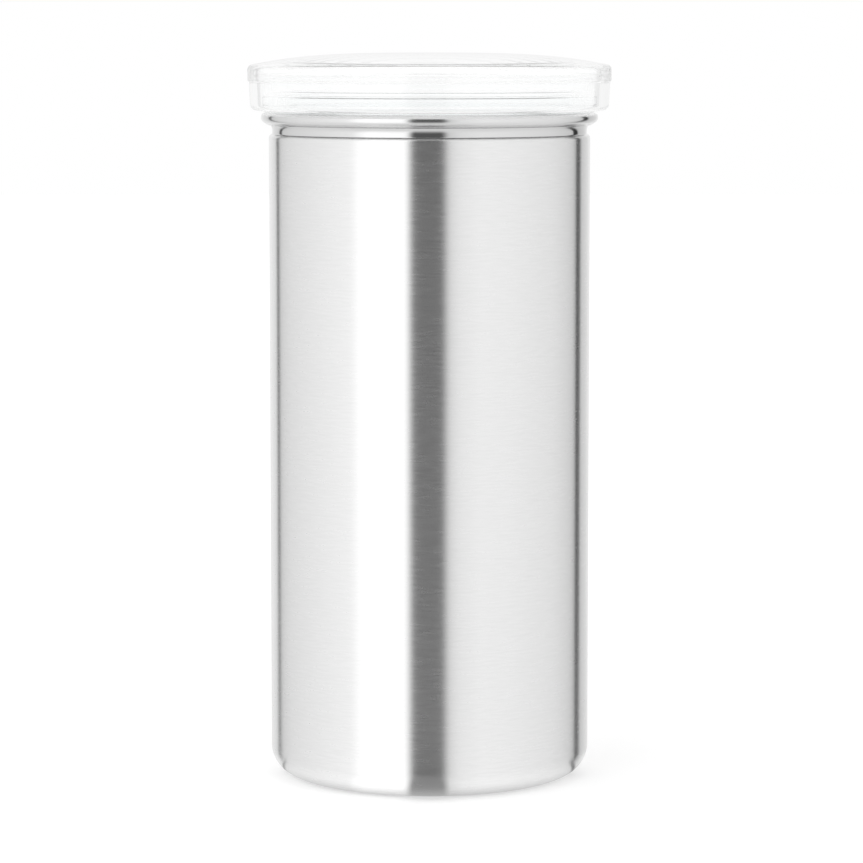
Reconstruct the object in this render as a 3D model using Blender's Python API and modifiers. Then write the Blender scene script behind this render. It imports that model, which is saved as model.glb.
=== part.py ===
"""Coffee capsule canister: a drawn steel can, a clear domed lid and the seal ring that the lid carries.

Every piece is turned about Z. Lengths are in metres and +Z is up. The origin is the centre of the
circle that the can stands on. The lid and its seal are drawn from the plane of the rim's top, and
hang on an empty there, so that raising the empty lifts the lid off.
"""

import math

import bpy

# Steel can: overall size and sheet
can_height = 0.2022
can_radius = 0.0486
sheet = 0.0006

# Steel can: base
corner_radius = 0.0085
foot_ring_width = 0.0030
panel_lift = 0.0015
panel_slope_run = 0.0030

# Steel can: neck and curled rim
neck_depth = 0.0010
shoulder_drop = 0.0016
shoulder_round_share = 0.7
neck_height = 0.0006
flare_drop = 0.00225
flare_round_share = 0.33
mouth_flare = 0.0006
mouth_drop = 0.00175
curl_radius = 0.0017
curl_start_deg = 180.0
curl_end_deg = -60.0
tuck_length = 0.0015

# Gaps between pieces
fit_gap = 0.0003
skirt_gap = 0.0004
plug_gap = 0.0010

# Lid: domed plate and the band round its edge
dome_rise = 0.0038
dome_power = 3.25
plate_wall = 0.0042
band_height = 0.0046
band_step = 0.0004
band_round = 0.0016

# Lid: skirt outside the rim
skirt_wall = 0.0028
skirt_draft = 0.0004
skirt_outer_round_share = 0.7
skirt_inner_round_share = 0.15

# Lid: inner ring under the plate, slot behind the skirt, web over the seal, and plug in the mouth
hollow_depth = 0.0034
hollow_round = 0.0012
web_wall = 0.0011
ring_wall = 0.0023
ring_setback = 0.0006
slot_depth = 0.0045
slot_round = 0.0004
plug_below_curl = 0.0017
plug_wall = 0.0020
groove_depth = 0.0006
plug_foot_height = 0.0012
plug_foot_slope_share = 0.5
plug_foot_round_share = 0.3

# Seal ring: flange under the lid, lip on the rim, wall in the groove and wiper in the mouth
flange_wall = 0.0028
flange_overhang = 0.0014
flange_edge = 0.0026
lip_drop = 0.0019
lip_wall = 0.0011
lip_undercut = 0.0005
wiper_wall = 0.0003
wiper_root = 0.0010
seal_round = 0.0004

# Facets
turn_steps = 56
round_steps = 3
small_round_steps = 2
curl_steps = 8
bend_steps = 3
corner_steps = 6
dome_shares = (0.0, 0.25, 0.45, 0.62, 0.77, 0.89)
weld_distance = 0.00001

# Sizes that follow: the can's neck, mouth and rim
neck_radius = can_radius - neck_depth
neck_bore = neck_radius - sheet
mouth_radius = neck_bore + mouth_flare
crown_radius = mouth_radius + curl_radius
rim_radius = crown_radius + curl_radius
crown_centre_z = can_height - curl_radius
flare_z = crown_centre_z - mouth_drop
neck_top_z = flare_z - flare_drop
neck_z = neck_top_z - neck_height
shoulder_z = neck_z - shoulder_drop
foot_outer_radius = can_radius - corner_radius
foot_inner_radius = foot_outer_radius - foot_ring_width
panel_radius = foot_inner_radius - panel_slope_run

# Sizes that follow: plug and seal pass the neck's bore, and the skirt goes round rim and seal
foot_radius = neck_bore - plug_gap
groove_radius = foot_radius - groove_depth
plug_bore = groove_radius - plug_wall
seal_bore = groove_radius + fit_gap
seal_wall_radius = neck_bore - fit_gap
wiper_radius = mouth_radius - fit_gap
flange_radius = crown_radius + flange_overhang
ring_radius = flange_radius - ring_setback
hollow_radius = ring_radius - ring_wall
skirt_inner_radius = max(rim_radius, flange_radius) + skirt_gap
skirt_radius = skirt_inner_radius + skirt_wall
skirt_top_radius = skirt_radius + skirt_draft
lid_radius = skirt_top_radius + band_step

# Heights above the rim's top: the seal stands on the rim's crown, and the lid's web sits on the seal
flange_bottom_z = fit_gap + lip_drop
seal_top_z = flange_bottom_z + flange_wall
land_z = seal_top_z + fit_gap
web_top_z = land_z + web_wall
plate_edge_z = web_top_z + hollow_depth + plate_wall
band_bottom_z = plate_edge_z - band_height
slot_roof_z = land_z + slot_depth
plug_bottom_z = -(2 * curl_radius + plug_below_curl)
plug_foot_top_z = plug_bottom_z + plug_foot_height


def arc(centre, radius, start_deg, end_deg, steps):
    """Points on an arc about centre, both ends included. Angles are anticlockwise from +X."""
    points = []
    for step in range(steps + 1):
        angle = math.radians(start_deg + (end_deg - start_deg) * step / steps)
        points.append((centre[0] + radius * math.cos(angle), centre[1] + radius * math.sin(angle)))
    return points


def s_bend(start, end, steps, first_share=0.5):
    """Points on two arcs that meet in a common tangent, with upright tangents at start and end."""
    across = end[0] - start[0]
    along = end[1] - start[1]
    both_radii = (across**2 + along**2) / (2 * abs(across))
    sweep = math.acos(1 - abs(across) / both_radii)
    first = both_radii * first_share
    second = both_radii - first
    points = []
    for step in range(steps + 1):
        angle = sweep * step / steps
        x = start[0] + math.copysign(first * (1 - math.cos(angle)), across)
        points.append((x, start[1] + math.copysign(first * math.sin(angle), along)))
    for step in range(steps - 1, -1, -1):
        angle = sweep * step / steps
        x = end[0] - math.copysign(second * (1 - math.cos(angle)), across)
        points.append((x, end[1] - math.copysign(second * math.sin(angle), along)))
    return points


def dome_height(radius):
    """How far the lid's top stands above the edge of its plate at this radius."""
    return dome_rise * (1 - (radius / lid_radius) ** dome_power)


def dome_points(reach, drop):
    """Points down the dome from its centre to short of reach, lowered by drop."""
    radii = [reach * share for share in dome_shares]
    return [(radius, plate_edge_z + dome_height(radius) - drop) for radius in radii]


def can_outline():
    """The can's outer side: the curl from its tucked end, over the rim, then down to the base's centre."""
    hidden_radius = curl_radius - sheet
    curl = arc((crown_radius, crown_centre_z), hidden_radius, curl_end_deg, curl_start_deg, curl_steps)
    tuck = math.radians(curl_end_deg)
    tuck_end = (curl[0][0] + tuck_length * math.sin(tuck), curl[0][1] - tuck_length * math.cos(tuck))
    mouth = (mouth_radius + sheet, flare_z)
    flare = s_bend(mouth, (neck_radius, neck_top_z), bend_steps, flare_round_share)
    shoulder = s_bend((neck_radius, neck_z), (can_radius, shoulder_z), bend_steps, 1 - shoulder_round_share)
    corner = arc((foot_outer_radius, corner_radius), corner_radius, 0, -90, corner_steps)
    slope = s_bend((0, foot_inner_radius), (panel_lift, panel_radius), bend_steps)
    slope = [(radius, height) for height, radius in slope]
    return [tuck_end] + curl + flare + shoulder + corner + slope + [(0, panel_lift)]


def plate_and_band_outline():
    """The lid's top, from the dome's centre out over its edge and down the band to the step."""
    edge_slope_deg = math.degrees(math.atan(dome_power * dome_rise / lid_radius))
    round_radius = lid_radius - band_round
    round_z = plate_edge_z + dome_height(round_radius) - band_round
    edge = arc((round_radius, round_z), band_round, 90 - edge_slope_deg, 0, round_steps)
    band = [(lid_radius, band_bottom_z), (skirt_top_radius, band_bottom_z - band_step)]
    return dome_points(lid_radius, 0) + edge + band


def skirt_outline():
    """The skirt's tapered outer side, its rounded foot, and the slot between it and the inner ring."""
    outer = skirt_wall * skirt_outer_round_share
    inner = skirt_wall * skirt_inner_round_share
    foot = arc((skirt_radius - outer, skirt_gap + outer), outer, 0, -90, round_steps)
    foot += arc((skirt_inner_radius + inner, skirt_gap + inner), inner, -90, -180, small_round_steps)
    slot_radius = skirt_top_radius - skirt_wall
    round_z = slot_roof_z - slot_round
    slot = arc((slot_radius - slot_round, round_z), slot_round, 0, 90, small_round_steps)
    slot += arc((ring_radius + slot_round, round_z), slot_round, 90, 180, small_round_steps)
    return foot + slot


def plug_outline():
    """The web's underside, the groove that holds the seal, the plug's foot, and its bore up to the web."""
    slope = plug_foot_height * plug_foot_slope_share
    edge = plug_foot_height * plug_foot_round_share
    groove = [(ring_radius, land_z), (groove_radius, land_z), (groove_radius, plug_foot_top_z)]
    foot = [(foot_radius, plug_foot_top_z - slope)]
    foot += arc((foot_radius - edge, plug_bottom_z + edge), edge, 0, -90, small_round_steps)
    bore = [(plug_bore, plug_bottom_z), (plug_bore, web_top_z)]
    return groove + foot + bore


def hollow_outline():
    """The lid's hollow, from the web out to the inner ring and up to the underside of the dome."""
    reach = hollow_radius - hollow_round
    round_z = plate_edge_z + dome_height(reach) - plate_wall - hollow_round
    corner = arc((reach, round_z), hollow_round, 0, 90, round_steps)
    return [(hollow_radius, web_top_z)] + corner + dome_points(reach, plate_wall)[::-1]


def lid_outline():
    """The lid's whole section, from the dome's centre round to the centre of its underside."""
    return plate_and_band_outline() + skirt_outline() + plug_outline() + hollow_outline()


def seal_outline():
    """The seal's section: down the flange and the lip, up the undercut, down the wall and the wiper."""
    lip_radius = crown_radius + lip_wall / 2
    lip_inner_radius = crown_radius - lip_wall / 2
    wiper_z = -curl_radius
    foot_z = plug_foot_top_z + fit_gap
    edge_centre = (flange_radius - seal_round, seal_top_z - seal_round)
    flange = [(seal_bore, seal_top_z)]
    flange += arc(edge_centre, seal_round, 90, 0, small_round_steps)
    flange += [(flange_radius, seal_top_z - flange_edge)]
    lip = arc((lip_radius - seal_round, fit_gap + seal_round), seal_round, 0, -90, small_round_steps)
    lip += [
        (lip_inner_radius, fit_gap),
        (lip_inner_radius - lip_undercut, flange_bottom_z - lip_undercut),
        (lip_inner_radius - lip_undercut - seal_round, flange_bottom_z),
    ]
    wall = [
        (seal_wall_radius + seal_round, flange_bottom_z),
        (seal_wall_radius, flange_bottom_z - seal_round),
        (seal_wall_radius, wiper_z + wiper_wall + wiper_root),
        (wiper_radius, wiper_z + wiper_wall),
        (wiper_radius, wiper_z),
        (seal_wall_radius, wiper_z - wiper_wall),
    ]
    foot = [
        (seal_wall_radius, foot_z + seal_round),
        (seal_wall_radius - seal_round, foot_z),
        (seal_bore, foot_z),
    ]
    return flange + lip + wall + foot


def finish(name, colour, roughness, metallic, transmission=0.0):
    """A plain material in the piece's own colour."""
    material = bpy.data.materials.new(name)
    material.use_nodes = True
    shader = material.node_tree.nodes["Principled BSDF"]
    shader.inputs["Base Color"].default_value = (*colour, 1)
    shader.inputs["Roughness"].default_value = roughness
    shader.inputs["Metallic"].default_value = metallic
    shader.inputs["Transmission Weight"].default_value = transmission
    return material


def turned(name, outline, closed, material, collection):
    """An object whose mesh is the outline at +X, turned once about Z by a Screw modifier."""
    points = [(radius, 0, height) for radius, height in outline]
    edges = [(index, index + 1) for index in range(len(points) - 1)]
    if closed:
        edges.append((len(points) - 1, 0))
    mesh = bpy.data.meshes.new(name)
    mesh.from_pydata(points, edges, [])
    mesh.materials.append(material)
    piece = bpy.data.objects.new(name, mesh)
    collection.objects.link(piece)
    turn = piece.modifiers.new("turn", "SCREW")
    turn.axis = "Z"
    turn.angle = math.tau
    turn.steps = turn_steps
    turn.render_steps = turn_steps
    turn.use_merge_vertices = True
    turn.merge_threshold = weld_distance
    turn.use_smooth_shade = True
    return piece


def smooth_flats(piece):
    """Keeps the flat rings of a turned piece flat in its shading."""
    piece.modifiers.new("flats", "WEIGHTED_NORMAL")


def make_can(collection):
    """The can: an open turned surface, thickened inwards to the sheet's gauge."""
    steel = finish("brushed_steel", (0.62, 0.62, 0.61), 0.28, 1.0)
    can = turned("canister_body", can_outline(), False, steel, collection)
    wall = can.modifiers.new("wall", "SOLIDIFY")
    wall.thickness = sheet
    wall.offset = -1
    wall.use_even_offset = True
    wall.use_quality_normals = True
    smooth_flats(can)
    return can


def make_lid(collection):
    """The lid, moulded in one piece: plate, band, skirt, inner ring and plug."""
    clear = finish("clear_plastic", (0.95, 0.96, 0.96), 0.04, 0.0, 1.0)
    lid = turned("lid", lid_outline(), False, clear, collection)
    smooth_flats(lid)
    return lid


def make_seal(collection):
    """The seal ring, which sits in the groove round the plug."""
    silicone = finish("silicone", (0.86, 0.87, 0.87), 0.35, 0.0, 0.6)
    seal = turned("lid_seal", seal_outline(), True, silicone, collection)
    smooth_flats(seal)
    return seal


def main():
    for old in list(bpy.data.objects):
        bpy.data.objects.remove(old, do_unlink=True)
    pieces = bpy.data.collections.new("coffee_capsule_canister")
    bpy.context.scene.collection.children.link(pieces)
    make_can(pieces)
    rim_plane = bpy.data.objects.new("lid_lift_axis", None)
    rim_plane.location = (0, 0, can_height)
    pieces.objects.link(rim_plane)
    for piece in (make_lid(pieces), make_seal(pieces)):
        piece.parent = rim_plane


main()
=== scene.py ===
import math

import bmesh
import bpy
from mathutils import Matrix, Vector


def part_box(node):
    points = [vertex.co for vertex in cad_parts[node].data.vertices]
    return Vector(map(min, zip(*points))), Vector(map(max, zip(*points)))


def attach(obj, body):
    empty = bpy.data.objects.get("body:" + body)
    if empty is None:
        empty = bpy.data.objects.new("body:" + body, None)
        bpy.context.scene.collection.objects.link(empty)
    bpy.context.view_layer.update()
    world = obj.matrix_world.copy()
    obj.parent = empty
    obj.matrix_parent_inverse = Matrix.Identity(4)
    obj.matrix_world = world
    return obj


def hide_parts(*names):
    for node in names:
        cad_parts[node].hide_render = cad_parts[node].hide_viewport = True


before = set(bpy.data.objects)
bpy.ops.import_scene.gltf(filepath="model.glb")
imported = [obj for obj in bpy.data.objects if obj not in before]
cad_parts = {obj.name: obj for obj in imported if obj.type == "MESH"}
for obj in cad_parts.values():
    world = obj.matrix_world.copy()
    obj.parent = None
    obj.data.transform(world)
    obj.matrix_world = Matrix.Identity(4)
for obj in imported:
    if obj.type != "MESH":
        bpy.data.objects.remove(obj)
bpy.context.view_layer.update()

# Steel can: one drawn piece of sheet with a rounded base, a necked shoulder and a curled rim.
# Its section is given by corners, each with the radius that rounds it. A node tree rounds them and
# turns the section about Z. The sheet gets its gauge after that, and is brushed round the axis.
can_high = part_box("canister_body")[1]
can_height = can_high.z
rim_radius = can_high.x
sheet = 0.0006
corner_radius = 0.0085
foot_ring_width = 0.0030
panel_lift = 0.0015
panel_slope_run = 0.0030
neck_depth = 0.0010
shoulder_drop = 0.0016
shoulder_round_share = 0.7
neck_height = 0.0006
flare_drop = 0.00225
flare_round_share = 0.33
mouth_flare = 0.0006
mouth_drop = 0.00175
curl_radius = 0.0017
curl_turn_deg = 60.0
tuck_length = 0.0015

mouth_radius = rim_radius - 2 * curl_radius
neck_bore = mouth_radius - mouth_flare
neck_radius = neck_bore + sheet
can_radius = neck_radius + neck_depth
crown_radius = mouth_radius + curl_radius
crown_centre_z = can_height - curl_radius
flare_z = crown_centre_z - mouth_drop
neck_top_z = flare_z - flare_drop
neck_z = neck_top_z - neck_height
shoulder_z = neck_z - shoulder_drop


def bend(start, end, first_share=0.5):
    """The two rounded corners of an s-bend that leaves start and reaches end upright."""
    across = end[0] - start[0]
    along = end[1] - start[1]
    both_radii = (across**2 + along**2) / (2 * abs(across))
    sweep = math.acos(1 - abs(across) / both_radii)
    first = both_radii * first_share
    second = both_radii - first
    reach = math.copysign(math.tan(sweep / 2), along)
    return [(start[0], start[1] + first * reach, first), (end[0], end[1] - second * reach, second)]


def can_section():
    """Corners of the sheet's outer side, from the curl's tucked end down to the base's centre."""
    curl = curl_radius - sheet
    turn = math.radians(curl_turn_deg)
    tuck_radius = crown_radius + curl * math.cos(turn) - tuck_length * math.sin(turn)
    tuck_z = crown_centre_z - curl * math.sin(turn) - tuck_length * math.cos(turn)
    under_curl = (crown_radius + curl, crown_centre_z - curl * math.tan(turn / 2), curl)
    over_curl = (crown_radius + curl, crown_centre_z + curl, curl)
    into_mouth = (crown_radius - curl, crown_centre_z + curl, curl)
    flare = bend((crown_radius - curl, flare_z), (neck_radius, neck_top_z), flare_round_share)
    shoulder = bend((neck_radius, neck_z), (can_radius, shoulder_z), 1 - shoulder_round_share)
    foot_inner_radius = can_radius - corner_radius - foot_ring_width
    slope = bend((0, foot_inner_radius), (panel_lift, foot_inner_radius - panel_slope_run))
    slope = [(radius, height, rounding) for height, radius, rounding in slope]
    rim = [(tuck_radius, tuck_z, 0), under_curl, over_curl, into_mouth]
    return rim + flare + shoulder + [(can_radius, 0, corner_radius)] + slope + [(0, panel_lift, 0)]


def joined(tree, node, sources):
    """The node, with each source linked or set at the input of that name or place."""
    for place, source in sources.items():
        if isinstance(source, bpy.types.NodeSocket):
            tree.links.new(source, node.inputs[place])
        else:
            node.inputs[place].default_value = source
    return node


def add_node(tree, kind, sources=None, **settings):
    """A new node of this kind, with its own settings changed and its sources joined."""
    node = tree.nodes.new(kind)
    for name, value in settings.items():
        setattr(node, name, value)
    return joined(tree, node, sources or {})


def reckoned(tree, operation, *values):
    """What this sum of the values comes to."""
    return add_node(tree, "ShaderNodeMath", dict(enumerate(values)), operation=operation).outputs[0]


def turning_tree():
    """Rounds a section's corners and turns the section, drawn in the XZ plane, once about Z."""
    tree = bpy.data.node_groups.new("turned_section", "GeometryNodeTree")
    kinds = {
        "Section": "Geometry",
        "Turn steps": "Int",
        "Round detail": "Float",
        "Least round steps": "Float",
        "Core radius": "Float",
        "Weld distance": "Float",
        "Finish": "Material",
    }
    for name, kind in kinds.items():
        tree.interface.new_socket(name, in_out="INPUT", socket_type="NodeSocket" + kind)
    tree.interface.new_socket("Piece", in_out="OUTPUT", socket_type="NodeSocketGeometry")
    given = add_node(tree, "NodeGroupInput").outputs
    inwards = reckoned(tree, "MULTIPLY", given["Core radius"], -1.0)
    shift = add_node(tree, "ShaderNodeCombineXYZ", {"X": inwards}).outputs[0]
    laid = add_node(
        tree,
        "GeometryNodeTransform",
        {"Geometry": given["Section"], "Translation": shift, "Rotation": (math.radians(90), 0, 0)},
    )
    line = add_node(tree, "GeometryNodeMeshToCurve", {"Mesh": laid.outputs[0]})
    named = add_node(tree, "GeometryNodeInputNamedAttribute", {"Name": "rounding"}, data_type="FLOAT")
    rounding = named.outputs[0]
    root = reckoned(tree, "SQRT", rounding)
    count = reckoned(tree, "MULTIPLY_ADD", root, given["Round detail"], given["Least round steps"])
    rounded = add_node(
        tree,
        "GeometryNodeFilletCurve",
        {"Curve": line.outputs[0], "Count": count, "Radius": rounding},
        mode="POLY",
    )
    core = add_node(
        tree,
        "GeometryNodeCurvePrimitiveCircle",
        {"Resolution": given["Turn steps"], "Radius": given["Core radius"]},
    )
    round_about = add_node(
        tree,
        "GeometryNodeCurveToMesh",
        {"Curve": core.outputs[0], "Profile Curve": rounded.outputs[0]},
    )
    welded = add_node(
        tree,
        "GeometryNodeMergeByDistance",
        {"Geometry": round_about.outputs[0], "Distance": given["Weld distance"]},
    )
    smooth = add_node(tree, "GeometryNodeSetShadeSmooth", {"Geometry": welded.outputs[0]})
    real = add_node(tree, "GeometryNodeRealizeInstances", {"Geometry": smooth.outputs[0]})
    finished = add_node(
        tree,
        "GeometryNodeSetMaterial",
        {"Geometry": real.outputs[0], "Material": given["Finish"]},
    )
    add_node(tree, "NodeGroupOutput", {"Piece": finished.outputs[0]})
    return tree


turning = turning_tree()
turn_steps = 256
round_detail = 300.0
least_round_steps = 3.0
core_radius = 0.001
weld_distance = 0.000002


def plain_mesh(piece, name):
    """A new object with the piece's evaluated mesh. The piece and its modifiers are removed."""
    mesh = bpy.data.meshes.new_from_object(piece.evaluated_get(bpy.context.evaluated_depsgraph_get()))
    mesh.name = name
    bpy.data.objects.remove(piece, do_unlink=True)
    plain = bpy.data.objects.new(name, mesh)
    bpy.context.scene.collection.objects.link(plain)
    return plain


def write_marks(mesh, name, marks):
    """Keeps one number a vertex in the mesh, as its attribute of this name."""
    mesh.attributes.new(name, "FLOAT", "POINT").data.foreach_set("value", marks)


def turned(name, section, closed, finish, gauge=0.0):
    """A piece turned from the section's corners, as a plain mesh, with a wall where it is sheet."""
    edges = [(index, index + 1) for index in range(len(section) - 1)]
    if closed:
        edges.append((len(section) - 1, 0))
    mesh = bpy.data.meshes.new(name)
    mesh.from_pydata([(radius, 0, height) for radius, height, rounding in section], edges, [])
    write_marks(mesh, "rounding", [rounding for radius, height, rounding in section])
    piece = bpy.data.objects.new(name, mesh)
    bpy.context.scene.collection.objects.link(piece)
    turn = piece.modifiers.new("turn", "NODES")
    turn.node_group = turning
    sizes = {
        "Turn steps": turn_steps,
        "Round detail": round_detail,
        "Least round steps": least_round_steps,
        "Core radius": core_radius,
        "Weld distance": weld_distance,
        "Finish": finish,
    }
    for socket in turning.interface.items_tree:
        if socket.name in sizes:
            turn[socket.identifier] = sizes[socket.name]
    if gauge:
        wall = piece.modifiers.new("wall", "SOLIDIFY")
        wall.thickness = gauge
        wall.offset = -1
        wall.use_even_offset = True
        wall.use_quality_normals = True
    piece.modifiers.new("flats", "WEIGHTED_NORMAL")
    return plain_mesh(piece, name)


def new_finish(name):
    """A new material with its Principled shader."""
    finish = bpy.data.materials.new(name)
    finish.use_nodes = True
    return finish, finish.node_tree, finish.node_tree.nodes["Principled BSDF"]


def grain(tree, scale, detail=2.0):
    """Noise on the piece's own coordinates, stretched by the scale along X, Y and Z."""
    place = add_node(tree, "ShaderNodeTexCoord").outputs["Object"]
    scaled = add_node(tree, "ShaderNodeMapping", {"Vector": place, "Scale": scale}).outputs[0]
    noise = add_node(tree, "ShaderNodeTexNoise", {"Vector": scaled, "Scale": 1.0, "Detail": detail})
    return noise.outputs[0]


def between(tree, source, low, high, source_low=0.0, source_high=1.0):
    """The source as a value from low to high, where it goes from source_low to source_high."""
    ends = {"From Min": source_low, "From Max": source_high, "To Min": low, "To Max": high}
    return add_node(tree, "ShaderNodeMapRange", {"Value": source, **ends}).outputs["Result"]


def mark(tree, name):
    """What the piece's own attribute of this name says."""
    return add_node(tree, "ShaderNodeAttribute", attribute_name=name).outputs["Fac"]


def mixed(tree, share, first, second):
    """The number that lies between first and second by this share."""
    return add_node(tree, "ShaderNodeMix", {0: share, 2: first, 3: second}, data_type="FLOAT").outputs[0]


def mixed_colour(tree, share, first, second):
    """The colour that lies between first and second by this share."""
    return add_node(tree, "ShaderNodeMix", {0: share, 6: first, 7: second}, data_type="RGBA").outputs[2]


# The outside is brushed. The mesh's "polish" marks what is smoother: in part the curled rim's outside,
# and in full the neck and the sheet's inner side. Its "inside" marks the inside of the can, polished and
# lightened almost to white: painted light that lifts the shade of the many bounces inside the can.
line_grain = (60, 60, 6500)
streak_grain = (14, 14, 1500)
dash_grain = (200, 200, 1800)
fine_detail = 3.0
dash_ends = (0.3, 0.7)
brushed_roughness = (0.245, 0.275)
polished_roughness = (0.12, 0.16)
brushed_grey = (0.83, 0.87)
polished_colour = (0.73, 0.73, 0.73, 1)
# Near-white colour for the can's inside: painted light, lifting the shade that bounces inside the can
# leave.
lightened_inside_colour = (0.98, 0.98, 0.98, 1)
scratch_depth = 0.000001
scratch_strength = (1.0, 0.3)
quarter_turn = 0.25

can_finish, tree, steel = new_finish("brushed_steel")
fine_lines = grain(tree, line_grain, fine_detail)
streaks = grain(tree, streak_grain)
dashes = grain(tree, dash_grain, fine_detail)
polish = mark(tree, "polish")
outside_roughness = between(tree, dashes, *brushed_roughness, *dash_ends)
smooth_roughness = between(tree, streaks, *polished_roughness)
outside_grey = between(tree, dashes, *brushed_grey, *dash_ends)
outside_colour = mixed_colour(tree, polish, outside_grey, polished_colour)
place = add_node(tree, "ShaderNodeTexCoord").outputs["Object"]
along = add_node(tree, "ShaderNodeVectorMath", {0: (0, 0, 1), 1: place}, operation="CROSS_PRODUCT")
scratches = {
    "Height": reckoned(tree, "ADD", fine_lines, streaks),
    "Distance": scratch_depth,
    "Strength": between(tree, polish, *scratch_strength),
}
steel_sources = {
    "Base Color": mixed_colour(tree, mark(tree, "inside"), outside_colour, lightened_inside_colour),
    "Metallic": 1.0,
    "Roughness": mixed(tree, polish, outside_roughness, smooth_roughness),
    "Anisotropic": 1.0,
    "Anisotropic Rotation": quarter_turn,
    "Tangent": along.outputs[0],
    "Normal": add_node(tree, "ShaderNodeBump", scratches).outputs[0],
}
joined(tree, steel, steel_sources)

bead_polish = 0.6
bead_inner_radius = mouth_radius + sheet
polish_foot_z = neck_z - shoulder_drop / 3
can = turned("brushed_can", can_section(), False, can_finish, sheet)
outer_count = len(can.data.vertices) // 2
polish_marks = []
lightened_inside_marks = []
for vertex in can.data.vertices:
    inner_side = vertex.index >= outer_count
    radius = math.hypot(vertex.co.x, vertex.co.y)
    if vertex.co.z > flare_z and radius > bead_inner_radius:
        polish_marks.append(bead_polish)
    else:
        polish_marks.append(inner_side or vertex.co.z > polish_foot_z)
    lightened_inside_marks.append(inner_side and radius < crown_radius)
write_marks(can.data, "polish", polish_marks)
# The can's inside takes the lightened colour, painted light against the shade of its bounces.
write_marks(can.data, "inside", lightened_inside_marks)
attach(can, "can")
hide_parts("canister_body")

# Clear lid: one moulding with a domed plate, a stepped band round its edge and a tapered skirt outside
# the rim. Inside it has a ring under the plate, a web over the seal and a grooved plug in the mouth.
# The plastic is polished, apart from the band's outer side, which is faintly matt.
lid_low, lid_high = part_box("lid")
seal_low, seal_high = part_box("lid_seal")
lid_radius = lid_high.x
plug_bottom_z = lid_low.z
dome_rise = 0.0038
dome_power = 3.25
dome_steps = 24
plate_wall = 0.0042
band_height = 0.0046
band_step = 0.0004
band_round = 0.0016
band_foot_round = 0.0006
skirt_wall = 0.0028
skirt_draft = 0.0004
skirt_outer_round = 0.00196
skirt_inner_round = 0.0004
skirt_gap = 0.0004
hollow_depth = 0.0034
hollow_round = 0.0012
web_wall = 0.0011
ring_wall = 0.0023
ring_setback = 0.0006
slot_depth = 0.0045
slot_round = 0.0004
plug_gap = 0.0010
plug_wall = 0.0020
groove_depth = 0.0006
plug_foot_height = 0.0012
plug_foot_slope = 0.0006
plug_foot_round = 0.00036
mould_round = 0.00015

plate_edge_z = lid_high.z - dome_rise
band_bottom_z = plate_edge_z - band_height
skirt_top_radius = lid_radius - band_step
skirt_radius = skirt_top_radius - skirt_draft
skirt_inner_radius = skirt_radius - skirt_wall
skirt_bottom_z = can_height + skirt_gap
web_top_z = plate_edge_z - plate_wall - hollow_depth
land_z = web_top_z - web_wall
slot_roof_z = land_z + slot_depth
flange_radius = seal_high.x
ring_radius = flange_radius - ring_setback
hollow_radius = ring_radius - ring_wall
foot_radius = neck_bore - plug_gap
groove_radius = foot_radius - groove_depth
plug_bore = groove_radius - plug_wall
plug_foot_top_z = plug_bottom_z + plug_foot_height


def dome_z(radius):
    """Height of the lid's top at this radius."""
    return plate_edge_z + dome_rise * (1 - (radius / lid_radius) ** dome_power)


def dome(reach, drop):
    """Points down the dome from its centre to short of reach, lowered by drop."""
    radii = [reach * (step / dome_steps) for step in range(dome_steps)]
    return [(radius, dome_z(radius) - drop, 0) for radius in radii]


def lid_section():
    """The lid's corners, from the dome's centre out, down the skirt and back under the plate."""
    top = dome(lid_radius, 0)
    band = [
        (lid_radius, plate_edge_z, band_round),
        (lid_radius, band_bottom_z, band_foot_round),
        (skirt_top_radius, band_bottom_z - band_step, band_foot_round),
    ]
    skirt = [
        (skirt_radius, skirt_bottom_z, skirt_outer_round),
        (skirt_inner_radius, skirt_bottom_z, skirt_inner_round),
        (skirt_top_radius - skirt_wall, slot_roof_z, slot_round),
        (ring_radius, slot_roof_z, slot_round),
    ]
    plug = [
        (ring_radius, land_z, mould_round),
        (groove_radius, land_z, mould_round),
        (groove_radius, plug_foot_top_z, mould_round),
        (foot_radius, plug_foot_top_z - plug_foot_slope, mould_round),
        (foot_radius, plug_bottom_z, plug_foot_round),
        (plug_bore, plug_bottom_z, mould_round),
        (plug_bore, web_top_z, mould_round),
    ]
    hollow = [
        (hollow_radius, web_top_z, mould_round),
        (hollow_radius, dome_z(hollow_radius) - plate_wall, hollow_round),
    ]
    return top + band + skirt + plug + hollow + dome(hollow_radius, plate_wall)[::-1]


clear_grain = (90, 90, 90)
clear_roughness = (0.0, 0.02)
band_roughness = 0.12
lid_finish, tree, plastic = new_finish("clear_plastic")
polished_part = between(tree, grain(tree, clear_grain), *clear_roughness)
plastic_sources = {
    "Base Color": (0.998, 1.0, 1.0, 1),
    "IOR": 1.49,
    "Transmission Weight": 1.0,
    "Roughness": mixed(tree, mark(tree, "matt"), polished_part, band_roughness),
}
joined(tree, plastic, plastic_sources)

matt_foot_z = band_bottom_z - band_step / 2
matt_inner_radius = lid_radius - band_round / 2
lid = turned("clear_lid", lid_section(), False, lid_finish)
matt_marks = []
for vertex in lid.data.vertices:
    radius = math.hypot(vertex.co.x, vertex.co.y)
    matt_marks.append(vertex.co.z > matt_foot_z and radius > matt_inner_radius)
write_marks(lid.data, "matt", matt_marks)
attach(lid, "lid_unit")
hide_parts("lid")

# Seal ring: translucent silicone, stretched over the plug into its groove. A flange lies under the web,
# a lip stands on the rim's crown and a thin wiper reaches the mouth.
fit_gap = 0.0003
flange_wall = 0.0028
flange_edge = 0.0026
lip_wall = 0.0011
lip_undercut = 0.0005
wiper_wall = 0.0003
wiper_root = 0.0010
seal_round = 0.0004
wiper_round = 0.0001

seal_top_z = seal_high.z
seal_bottom_z = seal_low.z
flange_bottom_z = seal_top_z - flange_wall
lip_bottom_z = can_height + fit_gap
seal_bore = groove_radius + fit_gap
seal_wall_radius = neck_bore - fit_gap
wiper_radius = mouth_radius - fit_gap
wiper_z = crown_centre_z


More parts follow.
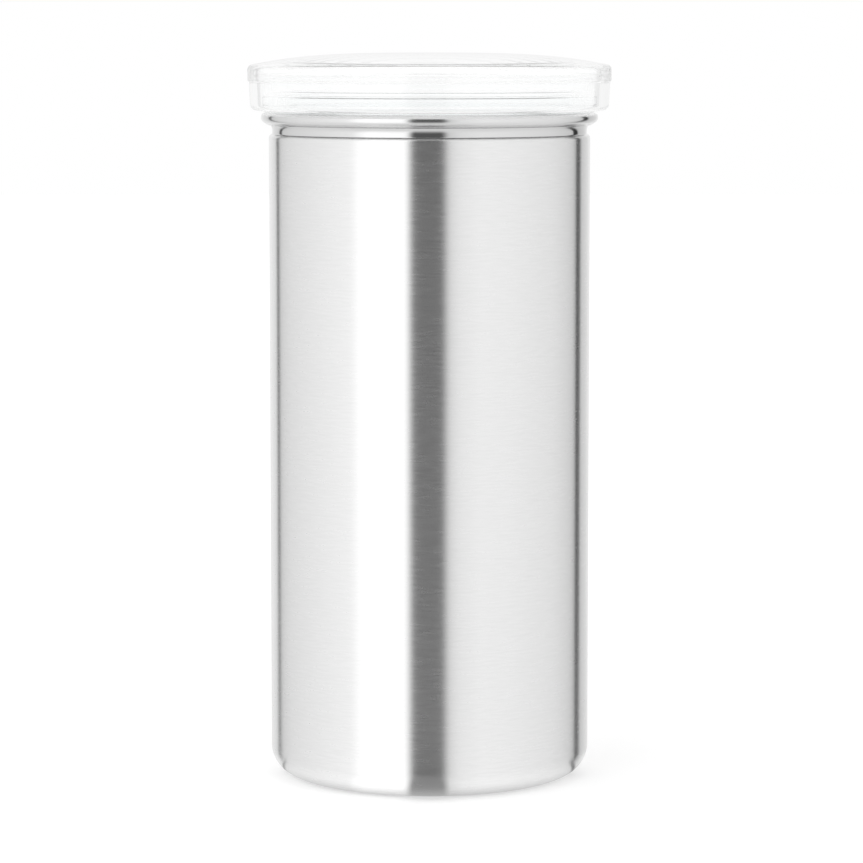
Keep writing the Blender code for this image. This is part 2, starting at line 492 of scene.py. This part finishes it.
def seal_section():
    """The seal's corners: down the flange and the lip, up the undercut, down the wall and the wiper."""
    lip_radius = crown_radius + lip_wall / 2
    lip_inner_radius = crown_radius - lip_wall / 2
    flange = [
        (seal_bore, seal_top_z, wiper_round),
        (flange_radius, seal_top_z, seal_round),
        (flange_radius, seal_top_z - flange_edge, wiper_round),
    ]
    lip = [
        (lip_radius, lip_bottom_z, seal_round),
        (lip_inner_radius, lip_bottom_z, wiper_round),
        (lip_inner_radius - lip_undercut, flange_bottom_z - lip_undercut, wiper_round),
        (lip_inner_radius - lip_undercut - seal_round, flange_bottom_z, wiper_round),
    ]
    wall = [
        (seal_wall_radius, flange_bottom_z, seal_round),
        (seal_wall_radius, wiper_z + wiper_wall + wiper_root, wiper_round),
        (wiper_radius, wiper_z + wiper_wall, wiper_round),
        (wiper_radius, wiper_z, wiper_round),
        (seal_wall_radius, wiper_z - wiper_wall, wiper_round),
        (seal_wall_radius, seal_bottom_z, seal_round),
        (seal_bore, seal_bottom_z, wiper_round),
    ]
    return flange + lip + wall


satin_grain = (600, 600, 600)
satin_roughness = (0.0, 0.06)
seal_finish, tree, silicone = new_finish("silicone")
silicone_sources = {
    "Base Color": (0.99, 0.995, 0.995, 1),
    "IOR": 1.41,
    "Transmission Weight": 1.0,
    "Roughness": between(tree, grain(tree, satin_grain), *satin_roughness),
}
joined(tree, silicone, silicone_sources)

seal = turned("seal_ring", seal_section(), True, seal_finish)
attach(seal, "lid_unit")
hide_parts("lid_seal")

# Floor: a plain pale sweep that the can stands on. It keeps the object's shadow, and glows for camera
# and transmission rays, so that it looks white where nothing shades it.
floor_size = 4.0
floor_drop = 0.0001
floor_colour = (0.82, 0.82, 0.82, 1)
floor_glow = 0.36


def flat_piece(name, draw, **sizes):
    """An object with the flat shape that draw, one of bmesh's own, makes with these sizes."""
    shape = bmesh.new()
    draw(shape, **sizes)
    mesh = bpy.data.meshes.new(name)
    shape.to_mesh(mesh)
    shape.free()
    flat = bpy.data.objects.new(name, mesh)
    bpy.context.scene.collection.objects.link(flat)
    return flat


def emptied(holder):
    """The node tree of a material or a world, with nothing in it."""
    holder.use_nodes = True
    holder.node_tree.nodes.clear()
    return holder.node_tree


floor = flat_piece("floor", bmesh.ops.create_grid, x_segments=1, y_segments=1, size=floor_size)
floor.location.z = -floor_drop
floor.visible_glossy = False
floor_finish = bpy.data.materials.new("pale_floor")
tree = emptied(floor_finish)
rays = add_node(tree, "ShaderNodeLightPath").outputs
direct = reckoned(tree, "MAXIMUM", rays["Is Camera Ray"], rays["Is Transmission Ray"])
matt = add_node(tree, "ShaderNodeBsdfDiffuse", {"Color": floor_colour}).outputs[0]
glow = add_node(tree, "ShaderNodeEmission", {"Strength": between(tree, direct, 0.0, floor_glow)}).outputs[0]
both = add_node(tree, "ShaderNodeAddShader", {0: matt, 1: glow}).outputs[0]
add_node(tree, "ShaderNodeOutputMaterial", {"Surface": both})
floor.data.materials.append(floor_finish)

# Studio: a tent of soft white walls, brightest on the left, with a dark opening behind the camera and
# two dark gaps where the side walls end short of the white backdrop. Each wall is a level at an
# azimuth in degrees, counted from behind the camera, with the left below zero.
wall_levels = [
    (-180, 0.9),
    (-165, 0.9),
    (-150, 0.83),
    (-143.5, 0.75),
    (-142, 0.1),
    (-138, 0.1),
    (-136.5, 0.75),
    (-120, 0.86),
    (-90, 0.97),
    (-58.5, 1.09),
    (-52, 1.3),
    (-45, 1.42),
    (-18.5, 1.38),
    (-16.2, 1.22),
    (-11.8, 0.105),
    (9.2, 0.105),
    (14.2, 0.8),
    (22, 0.96),
    (37, 1.04),
    (60, 1.01),
    (100, 0.9),
    (125, 0.75),
    (129.8, 0.65),
    (130.8, 0.03),
    (138.2, 0.03),
    (139.5, 0.65),
    (155, 0.75),
    (170, 0.9),
    (180, 0.9),
]
peak_level = 1.5
ceiling_level = 1.0
ground_level = 0.87
nadir_level = 0.4
through_share = 0.96
wall_top_deg = (42.0, 85.0)
wall_foot_deg = (15.0, 60.0)
nadir_deg = (70.0, 90.0)
plain_white = (1, 1, 1, 1)


def wall_level(tree, place, turn_share=1.0):
    """Parts of the place or way from the can's axis, and the level of the wall at its azimuth."""
    way = add_node(tree, "ShaderNodeTexCoord").outputs[place]
    parts = add_node(tree, "ShaderNodeSeparateXYZ", {"Vector": way}).outputs
    front = reckoned(tree, "MULTIPLY", parts["Y"], -1.0)
    turn = reckoned(tree, "ARCTAN2", parts["X"], front)
    half_turn = math.pi * turn_share
    round_share = between(tree, turn, 0.0, 1.0, -half_turn, half_turn)
    walls = add_node(tree, "ShaderNodeValToRGB", {"Fac": round_share})
    stops = walls.color_ramp.elements
    stops.remove(stops[1])
    for index, (azimuth_deg, level) in enumerate(wall_levels):
        share = (azimuth_deg + 180) / 360
        stop = stops[0] if index == 0 else stops.new(share)
        stop.position = share
        stop.color = (level / peak_level, level / peak_level, level / peak_level, 1)
    return parts, reckoned(tree, "MULTIPLY", walls.outputs[0], peak_level)


studio = bpy.data.worlds.new("studio")
bpy.context.scene.world = studio
tree = emptied(studio)
parts, level = wall_level(tree, "Generated")
upwards = parts["Z"]
downwards = reckoned(tree, "MULTIPLY", upwards, -1.0)
for height, (start_deg, end_deg), cap_level in (
    (upwards, wall_top_deg, ceiling_level),
    (downwards, wall_foot_deg, ground_level),
    (downwards, nadir_deg, nadir_level),
):
    start = math.sin(math.radians(start_deg))
    end = math.sin(math.radians(end_deg))
    rise = {"Value": height, "From Min": start, "From Max": end}
    past = add_node(tree, "ShaderNodeMapRange", rise, interpolation_type="SMOOTHSTEP").outputs[0]
    level = mixed(tree, past, level, cap_level)
rays = add_node(tree, "ShaderNodeLightPath").outputs
direct = {0: rays["Is Transmission Ray"], 1: through_share, 2: rays["Is Camera Ray"]}
direct = add_node(tree, "ShaderNodeMath", direct, operation="MULTIPLY_ADD", use_clamp=True).outputs[0]
tent = add_node(tree, "ShaderNodeBackground", {"Color": plain_white, "Strength": level}).outputs[0]
white = add_node(tree, "ShaderNodeBackground", {"Color": plain_white}).outputs[0]
shown = add_node(tree, "ShaderNodeMixShader", {0: direct, 1: tent, 2: white}).outputs[0]
add_node(tree, "ShaderNodeOutputWorld", {"Surface": shown})

# Card under the can's foot, seen only in reflections: a glowing sheet, no lamp, that paints the walls'
# reflection on over the floor, for the rounded base corner to show. Under the can it glows at one darker
# level, a painted contact shadow in that reflection. It is so near that it takes only a share of the
# walls' azimuth.
card_radius = 0.058
card_sides = 96
card_turn_share = 0.585
card_walls_share = 0.84
card_lift = 0.22
# Under the can the card glows darker: a painted contact shadow, seen in the base corner.
painted_contact_shadow_level = 0.62
painted_shadow_edge_radius = 0.042
disc = {"cap_ends": True, "segments": card_sides, "radius": card_radius}
card = flat_piece("foot_card", bmesh.ops.create_circle, **disc)
card.location.z = -floor_drop / 2
card.visible_camera = False
card.visible_diffuse = False
card.visible_transmission = False
card.visible_shadow = False
card_finish = bpy.data.materials.new("foot_card")
tree = emptied(card_finish)
parts, level = wall_level(tree, "Object", card_turn_share)
lifted = reckoned(tree, "MULTIPLY_ADD", level, card_walls_share, card_lift)
ground = add_node(tree, "ShaderNodeCombineXYZ", {"X": parts["X"], "Y": parts["Y"]}).outputs[0]
out = add_node(tree, "ShaderNodeVectorMath", {0: ground}, operation="LENGTH").outputs["Value"]
past_can = between(tree, out, 0.0, 1.0, painted_shadow_edge_radius, can_radius)
# Darker towards the foot: the painted contact shadow in the card's reflection.
shaded = mixed(tree, past_can, painted_contact_shadow_level, lifted)
glow = add_node(tree, "ShaderNodeEmission", {"Strength": shaded}).outputs[0]
add_node(tree, "ShaderNodeOutputMaterial", {"Surface": glow})
card.data.materials.append(card_finish)

# Camera: a long lens from a little above the lid, tilted down to the middle of the can.
# It stands straight in front, at the photograph's viewing angle.
camera_distance = 1.11
camera_height = 0.226
aim_height = 0.1048
camera_side = 0.0006
lens_mm = 152.4
sensor_width_mm = 36.0
camera = bpy.data.objects.new("camera", bpy.data.cameras.new("camera"))
bpy.context.scene.collection.objects.link(camera)
camera.location = (camera_side, -camera_distance, camera_height)
pitch = math.atan2(camera_height - aim_height, camera_distance)
camera.rotation_euler = (math.radians(90) - pitch, 0, 0)
camera.data.lens = lens_mm
camera.data.sensor_width = sensor_width_mm
bpy.context.scene.camera = camera

# Render settings: light passes in and out of the clear lid's many walls, so a ray gets far more turns
# than Blender's own twelve, and the view is Standard.
most_turns = 512
bpy.context.scene.cycles.max_bounces = most_turns
bpy.context.scene.cycles.transmission_bounces = most_turns
bpy.context.scene.cycles.glossy_bounces = most_turns
bpy.context.scene.view_settings.view_transform = "Standard"
